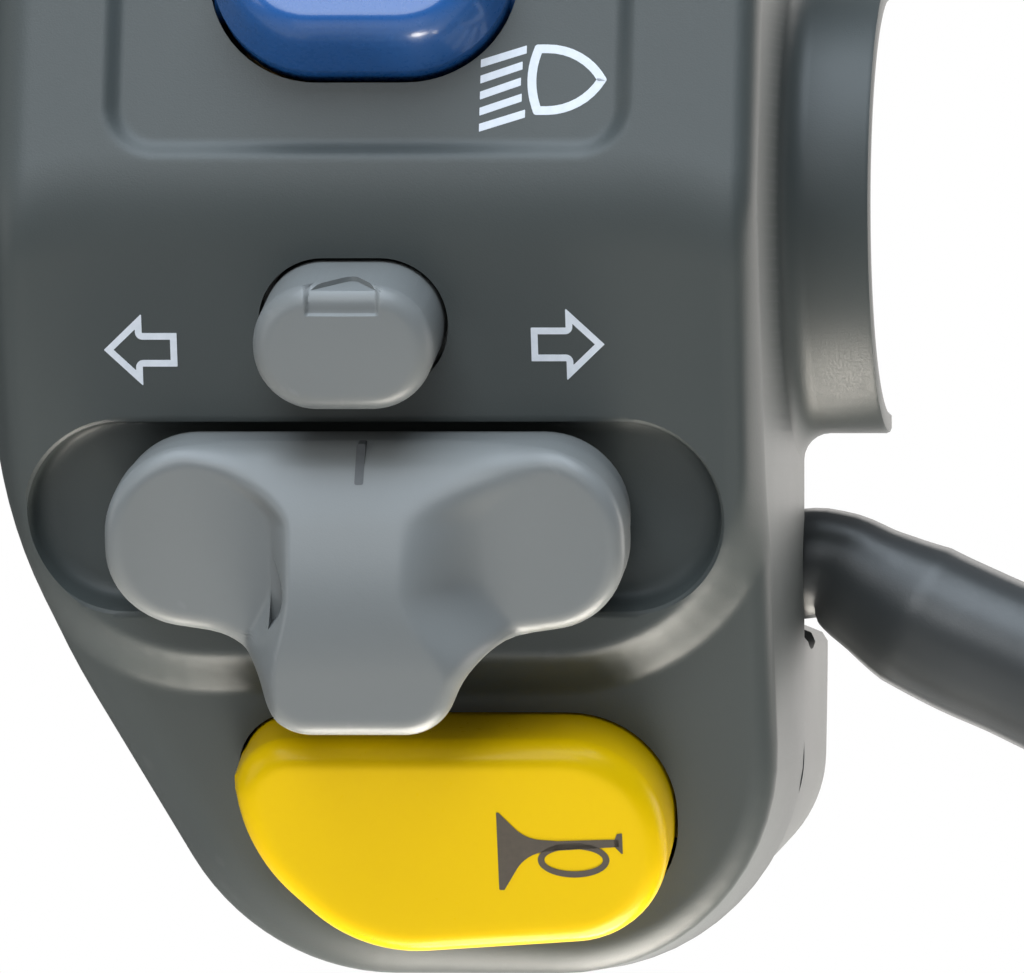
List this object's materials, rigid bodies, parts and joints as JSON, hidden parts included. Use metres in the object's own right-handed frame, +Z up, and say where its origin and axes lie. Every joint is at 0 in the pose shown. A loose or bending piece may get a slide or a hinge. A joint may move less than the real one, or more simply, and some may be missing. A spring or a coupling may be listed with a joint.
{
  "type": "handlebar switch cluster",
  "caption": "Two-half clamp-on switch housing for a motorbike handlebar, with a dimmer rocker, hazard button, sliding turn switch, horn button and a sleeved cable.",
  "frame": {"origin": "on the handlebar's axis, at the middle of the housing's width", "axes": "+X along the handlebar towards the collar, -Y towards the rider, +Z up"},
  "size_m": [0.0972, 0.0505, 0.1708],
  "materials": {
    "housing": "fine moulded grain",
    "rear": "fine moulded grain",
    "grey_knob": "satin",
    "blue_rocker": "gloss",
    "yellow_horn": "gloss",
    "black_plastic": "satin",
    "phenolic": "satin",
    "brass": "satin",
    "steel": "zinc plated",
    "cable_sleeve": "soft sheen",
    "wire": "satin",
    "connector_white": "translucent nylon"
  },
  "bodies": {
    "housing": {"front_housing": "housing", "rear_housing": "rear", "clamp_screws": "steel", "dimmer_pin": "steel", "dimmer_contacts": "brass", "dimmer_base": "phenolic", "dimmer_screws": "steel", "hazard_spring": "steel", "hazard_contacts": "brass", "hazard_base": "phenolic", "hazard_screws": "steel", "turn_left_spring": "steel", "turn_right_spring": "steel", "turn_contacts": "brass", "turn_base": "phenolic", "turn_screws": "steel", "horn_spring": "steel", "horn_contacts": "brass", "horn_base": "phenolic", "horn_screws": "steel", "cable_grommet": "black_plastic", "wire_bundle": "wire", "cable_lead": "cable_sleeve", "cable_coil": "cable_sleeve", "cable_tie": "black_plastic", "connector_housing": "connector_white", "connector_terminals": "brass"},
    "dimmer": {"dimmer_rocker": "blue_rocker", "dimmer_spring": "steel", "dimmer_plunger": "brass"},
    "hazard": {"hazard_button": "grey_knob", "hazard_bridge": "brass"},
    "turn_slide": {"turn_carriage": "black_plastic", "turn_wiper": "brass", "turn_cancel_spring": "steel"},
    "turn_thumb": {"turn_knob": "grey_knob", "turn_retaining_pin": "steel"},
    "horn": {"horn_button": "yellow_horn", "horn_bridge": "brass"}
  },
  "joints": [
    {"name": "dimmer_rock", "type": "hinge", "parent": "housing", "child": "dimmer", "pos_m": [0, -0.02077, 0.01257], "axis": [1, 0, 0], "range_deg": [-6, 6]},
    {"name": "hazard_press", "type": "slide", "parent": "housing", "child": "hazard", "axis": [0, 0.9659, 0.2588], "range_m": [0, 0.0025], "stiffness_N_per_m": 400, "springref_m": -0.002, "deforming": ["hazard_spring"]},
    {"name": "turn_slide", "type": "slide", "parent": "housing", "child": "turn_slide", "axis": [1, 0, 0], "range_m": [-0.004, 0.004], "stiffness_N_per_m": 300, "deforming": ["turn_left_spring", "turn_right_spring"]},
    {"name": "turn_cancel", "type": "slide", "parent": "turn_slide", "child": "turn_thumb", "axis": [0, 0.9659, 0.2588], "range_m": [0, 0.0015], "stiffness_N_per_m": 400, "springref_m": -0.002, "deforming": ["turn_cancel_spring"]},
    {"name": "horn_press", "type": "slide", "parent": "housing", "child": "horn", "axis": [0, 0.9397, 0.342], "range_m": [0, 0.0025], "stiffness_N_per_m": 400, "springref_m": -0.002, "deforming": ["horn_spring"]}
  ]
}
